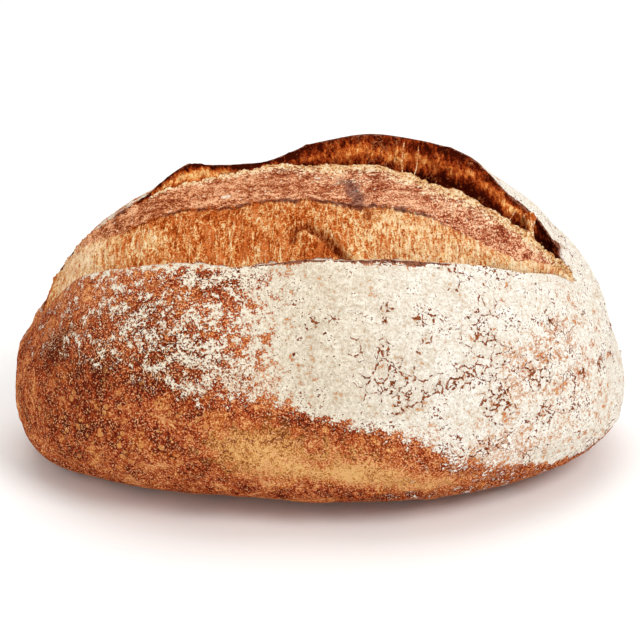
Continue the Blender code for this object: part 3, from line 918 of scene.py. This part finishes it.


# %% [markdown]
# ## The floured crust
#
# Three layers, from below: baked crust, red-brown with darker and golden areas, fine freckles and
# round blisters; then flour, which lies in patches with crisp, speckled edges and is only a veil
# where it is thin; then cracks, where the stretched flour skin opened and the crust shows through.
# The torn faces of the ear get their own browner dough colour, with painted shade deep in the ear,
# and its rim is scorched.

# %% Baked crust
def weighted(tree, *pairs):
    """The sum of (value - a half) * weight over these pairs, 0 where every noise is average."""
    total = 0.0
    for value, weight in pairs:
        part = calc(tree, "MULTIPLY_ADD", value, weight)
        part.node.inputs[2].default_value = -weight / 2
        total = plus(tree, part, total)
    return total


def broken(tree, share, low, high, *pairs):
    """The slope of a mark whose edge these noises break up, and 0 where there is no mark."""
    edge = slope(tree, plus(tree, share, weighted(tree, *pairs)), low, high)
    return times(tree, edge, slope(tree, share, 0.02, 0.2))


def random_share(tree, cell, channel):
    """A number from 0 to 1 that is the same all over one cell."""
    return add(tree, "SeparateColor", {0: cell.outputs["Color"]}).outputs[channel]


def blisters(tree, where, size, few, wide):
    """How far inside a round dome each spot lies: few is the share of cells without a dome."""
    cell = cells(tree, shaken(tree, where, 2.5, 0.6), size)
    radius = slope(tree, random_share(tree, cell, 1), few, 1.0, -0.2, wide)
    return minus(tree, radius, cell.outputs["Distance"])


def baked_crust(tree, where, bake, flour, blistered, golden, noises):
    """Colour of the bare crust, and the height of its blisters."""
    broad, mid, fine, dust = noises
    pale_off = slope(tree, flour, 0.0, 0.4, 0.61, 0.54)
    large, small = blisters(tree, where, 3.6, 0.25, 0.42), blisters(tree, where, 2.0, 0.1, 0.42)
    depth = calc(tree, "MAXIMUM", large, small)
    domes = times(tree, slope(tree, depth, 0.0, 0.06), blistered)
    ring = times(tree, slope(tree, depth, -0.16, -0.02), blistered)
    tone = plus(tree, bake, weighted(tree, (broad, 1.1), (mid, 1.7), (fine, 1.4), (dust, 1.7)))
    tone = plus(tree, tone, times(tree, ring, 0.1))
    red = shades(tree, tone, (
        (0.0, (222, 166, 110)), (0.2, (200, 122, 70)), (0.4, (174, 82, 42)),
        (0.56, (150, 58, 28)), (0.74, (116, 38, 18)), (0.98, (78, 26, 14)),
    ))
    orange = shades(tree, tone, (
        (0.0, (232, 182, 120)), (0.2, (210, 140, 78)), (0.4, (186, 98, 47)),
        (0.56, (166, 78, 34)), (0.74, (128, 50, 22)), (0.98, (86, 34, 16)),
    ))
    colour = tint(tree, slope(tree, grain(tree, where, 8, 2), 0.5, 0.68), red, orange)
    dotted = times(tree, domes, slope(tree, fine, 0.3, 0.6, 0.45, 1.0))
    colour = tint(tree, dotted, colour, tint(tree, dust, paint(192, 112, 52), paint(228, 164, 96)))
    olive = shades(tree, tone, (
        (0.2, (226, 180, 114)), (0.5, (198, 138, 72)), (0.7, (166, 98, 46)), (0.95, (112, 58, 26)),
    ))
    gilded = broken(tree, golden, 0.4, 0.6, (mid, 2.4), (fine, 1.3))
    colour = tint(tree, times(tree, gilded, 0.8), colour, olive)
    pale = plus(tree, grain(tree, where, 0.66, 1, 0.4), weighted(tree, (mid, 0.3)))
    flecks = slope(tree, minus(tree, pale, pale_off), 0.0, 0.06)
    return tint(tree, times(tree, flecks, 0.8), colour, paint(238, 176, 128)), domes


# %% Torn and scorched faces of the ear
def ear_dough(tree, where, height, bake, mid, fine, dust):
    """Painted shade in the depth of the ear, caramel up its face, dark again under the rim."""
    lying = add(tree, "Mapping", {"Vector": shaken(tree, where, 5, 3), "Scale": (1, 0.3, 0.3)})
    strands = grain(tree, lying.outputs[0], 1.5, 4, 0.7)
    tone = weighted(tree, (strands, 1.7), (mid, 1.0), (fine, 0.5), (dust, 0.4), (bake, -1.0))
    tone = minus(tree, plus(tree, tone, 0.54), slope(tree, height, 0.68, 0.95, 0.0, 0.38))
    # painted shade: the face darkens towards its root, deep behind the fringe
    tone = minus(tree, tone, slope(tree, height, 0.62, 0.36, 0.0, 0.42))
    return shades(tree, tone, (
        (0.08, (58, 13, 4)), (0.3, (118, 38, 12)), (0.5, (168, 74, 28)),
        (0.68, (206, 116, 50)), (0.95, (246, 198, 130)),
    ))


# %% Flour and its cracks
def flour_cover(tree, where, flour, thin, crackle, noises):
    """Where flour lies (0 or 1, with speckled edges), how thick it is, and where it cracked."""
    broad, mid, fine, dust = noises
    level = weighted(tree, (flour, 4.8), (broad, 3.5), (mid, 9.0), (fine, 4.8), (dust, 3.8))
    cover = times(tree, slope(tree, level, -0.06, 0.06), slope(tree, flour, 0.03, 0.1))
    thick = slope(tree, minus(tree, level, times(tree, thin, 2.6)), 0.0, 0.4)
    crack = 0.0
    for size, wide, patch, rare in ((3.6, 0.15, 12, 0.52), (7.0, 0.06, 18, 0.47)):
        web = cells(tree, shaken(tree, where, size / 2, size / 2), size, "DISTANCE_TO_EDGE")
        here = plus(tree, grain(tree, where, patch, 3), weighted(tree, (crackle, 0.3)))
        here = slope(tree, here, rare, rare + 0.1)
        here = times(tree, here, slope(tree, fine, 0.4, 0.62, 0.0, wide))
        gap = minus(tree, here, web.outputs["Distance"])
        crack = calc(tree, "MAXIMUM", slope(tree, gap, 0.0, 0.015), crack)
    pit = plus(tree, grain(tree, where, 0.9, 2, 0.6), weighted(tree, (mid, 0.5), (broad, 0.4)))
    pit = slope(tree, pit, 0.655, 0.69)
    crack = times(tree, calc(tree, "MAXIMUM", crack, pit), cover)
    return cover, thick, crack


# %% Floured crust material
def crust_material():
    material, tree, shader, where = blank("floured_crust")
    flour, thin, crackle, snow = read_marks(tree, "flour", "thin", "crackle", "snow")
    bake, blistered, golden = read_marks(tree, "bake", "blistered", "golden")
    torn, height, scorch = read_marks(tree, "torn", "height", "scorch")
    broad, mid = grain(tree, where, 14, 2), grain(tree, where, 4.5, 3, 0.55)
    fine, dust = grain(tree, where, 1.3, 2, 0.6), grain(tree, where, 0.6, 1)
    noises = (broad, mid, fine, dust)
    under, domes = baked_crust(tree, where, bake, flour, blistered, golden, noises)
    under = tint(tree, torn, under, ear_dough(tree, where, height, bake, mid, fine, dust))
    burnt = tint(tree, slope(tree, fine, 0.32, 0.62), paint(56, 24, 18), paint(146, 92, 70))
    charred = broken(tree, scorch, 0.25, 0.6, (fine, 1.2), (dust, 1.0))
    under = tint(tree, charred, under, burnt)
    cover, thick, crack = flour_cover(tree, where, flour, thin, crackle, noises)
    cover = times(tree, cover, minus(tree, 1.0, torn))
    tone = plus(tree, weighted(tree, (broad, 0.9), (mid, 1.5), (fine, 1.7), (dust, 1.4)), 0.56)
    cream = tint(tree, tone, paint(190, 170, 144), paint(238, 228, 208))
    white = tint(tree, tone, paint(206, 190, 168), paint(249, 244, 234))
    # painted light: whiter flour toward the right end, where the key lamp falls
    white = tint(tree, snow, cream, white)
    veil = plus(tree, weighted(tree, (fine, 2.4), (dust, 1.8)), 0.66)
    stained = tint(tree, 0.4, under, paint(236, 192, 148))
    veil = tint(tree, slope(tree, veil, 0.2, 1.0, 0.15, 0.9), stained, white)
    colour = tint(tree, cover, under, tint(tree, thick, veil, white))
    split = tint(tree, slope(tree, dust, 0.35, 0.65), paint(88, 36, 14), paint(168, 96, 56))
    colour = tint(tree, crack, colour, split)
    layer = times(tree, minus(tree, cover, crack), 0.12)
    relief = plus(tree, weighted(tree, (mid, 0.6), (fine, 0.6), (dust, 0.4)), layer)
    relief = plus(tree, relief, times(tree, domes, 0.25))
    roughness = slope(tree, cover, 0.0, 1.0, 0.6, 0.95)
    finish_shader(tree, shader, colour, roughness, relief, 0.0)
    return material


crust.data.materials.clear()
crust.data.materials.append(crust_material())
print("the floured crust has", len(crust.data.materials[0].node_tree.nodes), "nodes")

# %% [markdown]
# ## The torn dough
#
# The pale band is golden, with streaks of orange and cream that follow its fibres. The rusty band
# is finer and redder, dusted with pinkish specks. Painted shadow darkens the ridge under the rusty
# band's overhanging edge, and painted shade darkens the folds; the torn fringe is cream, and the
# wall of the pocket behind it is painted dark with its shade. Each band gets a recipe of its own,
# and the marks of the mesh say where one gives way to the next. Noise breaks up each edge.

# %% Golden dough of the pale band
def golden_dough(tree, along, warmth, across, noises):
    """Colours of the pale band and of the painted shade in its creases, and three kinds of fibre."""
    broad, mid, fine, dust = noises
    streak = grain(tree, along, 1.5, 3, 0.72)
    thread = grain(tree, along, 0.8, 1, 0.5, 0.6)
    strand = calc(tree, "ABSOLUTE", minus(tree, grain(tree, along, 2.0, 1), 0.5))
    strand = slope(tree, strand, 0.0, 0.06, 1.0, 0.0)
    tone = weighted(
        tree, (streak, 1.0), (thread, 1.1), (mid, 0.5), (broad, 0.6), (fine, 0.8), (dust, 1.1)
    )
    tone = plus(tree, plus(tree, tone, warmth), weighted(tree, (strand, 0.2), (across, -0.1)))
    crease_shade_colour = shades(tree, tone, ((0.1, (84, 22, 6)), (0.4, (138, 54, 18)), (0.75, (206, 120, 58))))
    golden = shades(tree, tone, (
        (0.02, (128, 48, 12)), (0.22, (178, 80, 28)), (0.4, (204, 116, 54)),
        (0.58, (223, 168, 108)), (0.78, (240, 205, 152)), (0.98, (248, 222, 182)),
    ))
    blush = times(tree, slope(tree, warmth, 0.55, 0.85, 0.0, 0.55), slope(tree, mid, 0.35, 0.6))
    golden = tint(tree, blush, golden, tint(tree, tone, paint(196, 108, 66), paint(252, 218, 182)))
    embers = slope(tree, grain(tree, along, 2.8, 2), 0.54, 0.66)
    embers = times(tree, embers, slope(tree, warmth, 0.7, 0.42, 0.1, 0.6))
    golden = tint(tree, embers, golden, tint(tree, dust, paint(176, 70, 26), paint(226, 132, 66)))
    return golden, crease_shade_colour, (streak, thread, strand)


# %% Rusty dough behind the ridge
def rusty_dough(tree, where, wavy, pink, noises):
    """Colour of the browned band, with pale specks on it."""
    broad, mid, fine, dust = noises
    flowing = add(tree, "Mapping", {"Vector": wavy, "Scale": (0.3, 1, 1)}).outputs[0]
    flow = grain(tree, flowing, 2.0, 3, 0.65)
    tone = weighted(tree, (broad, 1.0), (mid, 1.1), (flow, 1.5), (fine, 1.2), (dust, 1.9))
    tone = plus(tree, tone, 0.5)
    brown = shades(tree, tone, (
        (0.1, (116, 48, 24)), (0.35, (174, 94, 54)), (0.55, (203, 129, 85)), (0.85, (242, 184, 140)),
    ))
    pinkish = shades(tree, tone, (
        (0.1, (118, 46, 28)), (0.35, (178, 94, 60)), (0.55, (208, 136, 98)), (0.85, (248, 202, 162)),
    ))
    rusty = tint(tree, pink, brown, pinkish)
    for size, rare in ((1.6, 0.92), (7.5, 0.78)):
        speck = cells(tree, shaken(tree, where, size / 2, size / 3), size)
        chosen = slope(tree, random_share(tree, speck, 0), rare, rare + 0.03)
        chosen = times(tree, chosen, slope(tree, speck.outputs["Distance"], 0.32, 0.22))
        rusty = tint(tree, times(tree, chosen, 0.8), rusty, paint(246, 226, 200))
    return rusty


# %% Torn dough material
def burst_material():
    material, tree, shader, where = blank("torn_dough")
    rust, ridge, fringe, pink = read_marks(tree, "rust", "ridge", "fringe", "pink")
    wall, fold, across, warmth = read_marks(tree, "wall", "fold", "across", "warmth")
    broad, mid = grain(tree, where, 14, 2), grain(tree, where, 4.5, 3, 0.6)
    fine, dust = grain(tree, where, 1.3, 2, 0.6), grain(tree, where, 0.6, 1)
    noises = (broad, mid, fine, dust)
    wavy = shaken(tree, shaken(tree, where, 5, 2.2), 1.6, 0.7)
    along = add(tree, "Mapping", {"Vector": wavy, "Scale": (1, 0.22, 0.22)}).outputs[0]
    golden, crease_shade_colour, kinds = golden_dough(tree, along, warmth, across, noises)
    streak, thread, strand = kinds
    rusty = rusty_dough(tree, where, wavy, pink, noises)
    edge = plus(tree, rust, weighted(tree, (streak, 0.9), (fine, 0.9), (mid, 0.8)))
    colour = tint(tree, slope(tree, edge, 0.42, 0.58), golden, rusty)
    speckle = slope(tree, fine, 0.35, 0.65)
    reddish = tint(tree, speckle, paint(92, 36, 20), paint(150, 78, 48))
    mauve = tint(tree, speckle, paint(82, 42, 38), paint(154, 100, 86))
    dark = tint(tree, pink, reddish, mauve)
    # painted shadow along the ridge, under the rusty band's overhanging edge
    line = broken(tree, ridge, 0.66, 1.08, (broad, 2.2), (mid, 3.2), (streak, 1.4), (fine, 1.6))
    colour = tint(tree, times(tree, line, 0.85), colour, dark)
    # painted shade in the fold's crease and the scar's dent
    crease_shade = times(tree, broken(tree, fold, 0.25, 0.75, (fine, 1.2), (mid, 1.3)), 0.82)
    colour = tint(tree, crease_shade, colour, tint(tree, rust, crease_shade_colour, mauve))
    torn = shades(tree, weighted(tree, (fine, 2.0), (dust, 1.4), (mid, 1.0), (0.9, 1.0)), (
        (0.1, (190, 122, 68)), (0.4, (230, 182, 122)), (0.75, (252, 232, 198)),
    ))
    edge = broken(tree, fringe, 0.4, 0.6, (dust, 1.6), (fine, 2.0), (mid, 1.8))
    colour = tint(tree, edge, colour, torn)
    # painted shade: the wall of the pocket behind the fringe, down in the crevice, is coloured dark
    pocket = shades(tree, weighted(tree, (mid, 1.6), (fine, 1.4), (dust, 1.2), (0.96, 1.0)), (
        (0.1, (44, 12, 4)), (0.45, (104, 40, 14)), (0.8, (186, 100, 42)),
    ))
    colour = tint(tree, wall, colour, pocket)
    relief = weighted(tree, (streak, 0.9), (thread, 0.6), (strand, 0.2), (fine, 0.9), (dust, 0.45))
    roughness = slope(tree, rust, 0.0, 1.0, 0.62, 0.7)
    finish_shader(tree, shader, colour, roughness, relief, 0.0)
    return material


burst.data.materials.clear()
burst.data.materials.append(burst_material())
print("the torn dough has", len(burst.data.materials[0].node_tree.nodes), "nodes")

# %% [markdown]
# ## Strings of dough
#
# Where the ear tore away from the burst, a rope of dough still ties them together near the right
# end, and finer threads are left elsewhere. Each runs from the torn fringe to the inner face of the
# ear. It is a sphere pulled out along a slightly bent line, thick at both feet, in the burst's own
# dough, which is simpler than a curve with a changing width.

# %% Rope and threads of dough
STRING_AROUND, STRING_RINGS = 24, 28
STRING_OVERLAP = 0.05       # share of its length by which a string sinks in at each foot
# Each string: its name, the places of its foot and head, how many degrees in front of the fringe
# it starts, what share of the ear's face it climbs, and in mm its radius, bend, flare and bow
STRINGS = (
    ("dough_rope", 0.65, 0.655, 2.5, 0.86, 1.5, 0.5, 1.3, 1.5),
    ("thread_left", 0.27, 0.275, 2, 0.88, 0.2, 1.4, 0.1, 4),
    ("thread_right", 0.28, 0.318, 2, 0.88, 0.18, -1.2, 0.1, 4),
    ("thread_short", 0.565, 0.61, 1, 0.7, 0.2, 0.3, 0, 2),
)


def string_end(place, angle, lift):
    """A point over the skin, as a point of the scene."""
    across, up = skin(place, angle, lift)[0, :2]
    return np.array((place * LENGTH / 2, across + shift_y, up))


def make_string(name, foot_place, head_place, sunk, share, radius, bend, flare, bow):
    """A string from the fringe up to a share of the ear's inner face."""
    foot_marks, head_marks = slash_marks(foot_place), slash_marks(head_place)
    foot = string_end(foot_place, foot_marks["fringe"] - sunk, FRINGE_ROUND)
    root = skin(head_place, head_marks["root"], -head_marks["crevice"])[0]
    across, up = ear_faces(head_place, head_marks, root)[0][int(share * (FINE - 1)), :2]
    head = np.array((head_place * LENGTH / 2, across + shift_y, up))
    bpy.ops.mesh.primitive_uv_sphere_add(
        segments=STRING_AROUND, ring_count=STRING_RINGS, radius=1
    )
    string = bpy.context.object
    string.name = string.data.name = name
    points = get_points(string)
    share_up = 0.5 + np.arcsin(np.clip(points[:, 2], -1, 1)) / np.pi
    path = head - foot
    side = np.cross(path, (0, 1, 0)) / np.linalg.norm(np.cross(path, (0, 1, 0)))
    front = np.cross(side, path) / np.linalg.norm(np.cross(side, path))
    middle = foot + np.outer(share_up * (1 + 2 * STRING_OVERLAP) - STRING_OVERLAP, path)
    middle += np.outer(np.sin(share_up * np.pi), side * bend * MM - (0, bow * MM, 0))
    off_axis = np.hypot(points[:, 0], points[:, 1]) > 0
    wide = (radius + flare * (2 * share_up - 1) ** 2) * MM * off_axis
    turn = np.arctan2(points[:, 1], points[:, 0])
    points = middle + (np.cos(turn) * wide)[:, None] * side + (np.sin(turn) * wide)[:, None] * front
    set_points(string, points)
    turn_faces_out(string)
    height = radius * (0.35 * rough(points, 2.2, 2, 1.1) + 0.2 * rough(points, 0.9, 2, 5.1))
    set_points(string, kept_inside(points + get_normals(string) * (height * MM)[:, None]))
    mark(string, "fringe", np.full(len(points), 0.3 if radius < 1 else 0.12))
    mark(string, "warmth", 0.7 - 0.35 * share_up)
    string.data.materials.append(burst.data.materials[0])
    return string


strings = [make_string(*measures) for measures in STRINGS]
print("strings of dough:", [string.name for string in strings])

# %% [markdown]
# ## Floor and light
#
# A plain pale table and soft light from a large lamp in front, above and to the right, as in the
# photograph. A wide lamp overhead, a weak one at the left and a bright sky all round fill the
# shadows.

# %% Floor, lights and sky
FLOOR_SIZE = 8              # m
SKY_COLOUR, SKY_STRENGTH = (1, 0.99, 0.975, 1), 0.55
LAMPS = (                   # name, place in m, size in m, watts
    ("window", (0.85, -0.85, 1.25), 0.7, 13.5),
    ("ceiling", (0, 0.5, 1.7), 1.6, 14),
    ("fill", (-1.2, -0.7, 0.7), 1.2, 4.5),
)

bpy.ops.mesh.primitive_plane_add(size=FLOOR_SIZE)
floor = bpy.context.object
floor.name = "floor"
floor_material, _, shader, _ = blank("pale_floor")
shader.inputs["Base Color"].default_value = paint(252, 252, 251)
shader.inputs["Roughness"].default_value = 0.9
floor.data.materials.append(floor_material)


def add_lamp(name, place, size, watts):
    bpy.ops.object.light_add(type="AREA", location=place)
    lamp = bpy.context.object
    lamp.name = name
    lamp.data.size, lamp.data.energy = size, watts
    lamp.rotation_euler = (LOOK_AT - lamp.location).to_track_quat("-Z", "Y").to_euler()
    return lamp


lamps = [add_lamp(*facts) for facts in LAMPS]
world = bpy.data.worlds.new("bright_room")
world.use_nodes = True
sky = world.node_tree.nodes["Background"]
sky.inputs["Color"].default_value = SKY_COLOUR
sky.inputs["Strength"].default_value = SKY_STRENGTH
bpy.context.scene.world = world
bpy.context.scene.view_settings.view_transform = "Standard"
print("lamps:", [lamp.name for lamp in lamps])

# %% [markdown]
# ## The pieces on the loaf's body
#
# Each piece rides on the loaf's only body and stands for the CAD solid, which is hidden.

for piece in (crust, burst, *strings):
    bpy.ops.object.select_all(action="DESELECT")
    piece.select_set(True)
    bpy.context.view_layer.objects.active = piece
    bpy.ops.object.shade_smooth()
    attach(piece, "root")
    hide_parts("loaf")
    print(piece.name, "has", sum(len(face.vertices) - 2 for face in piece.data.polygons), "triangles")
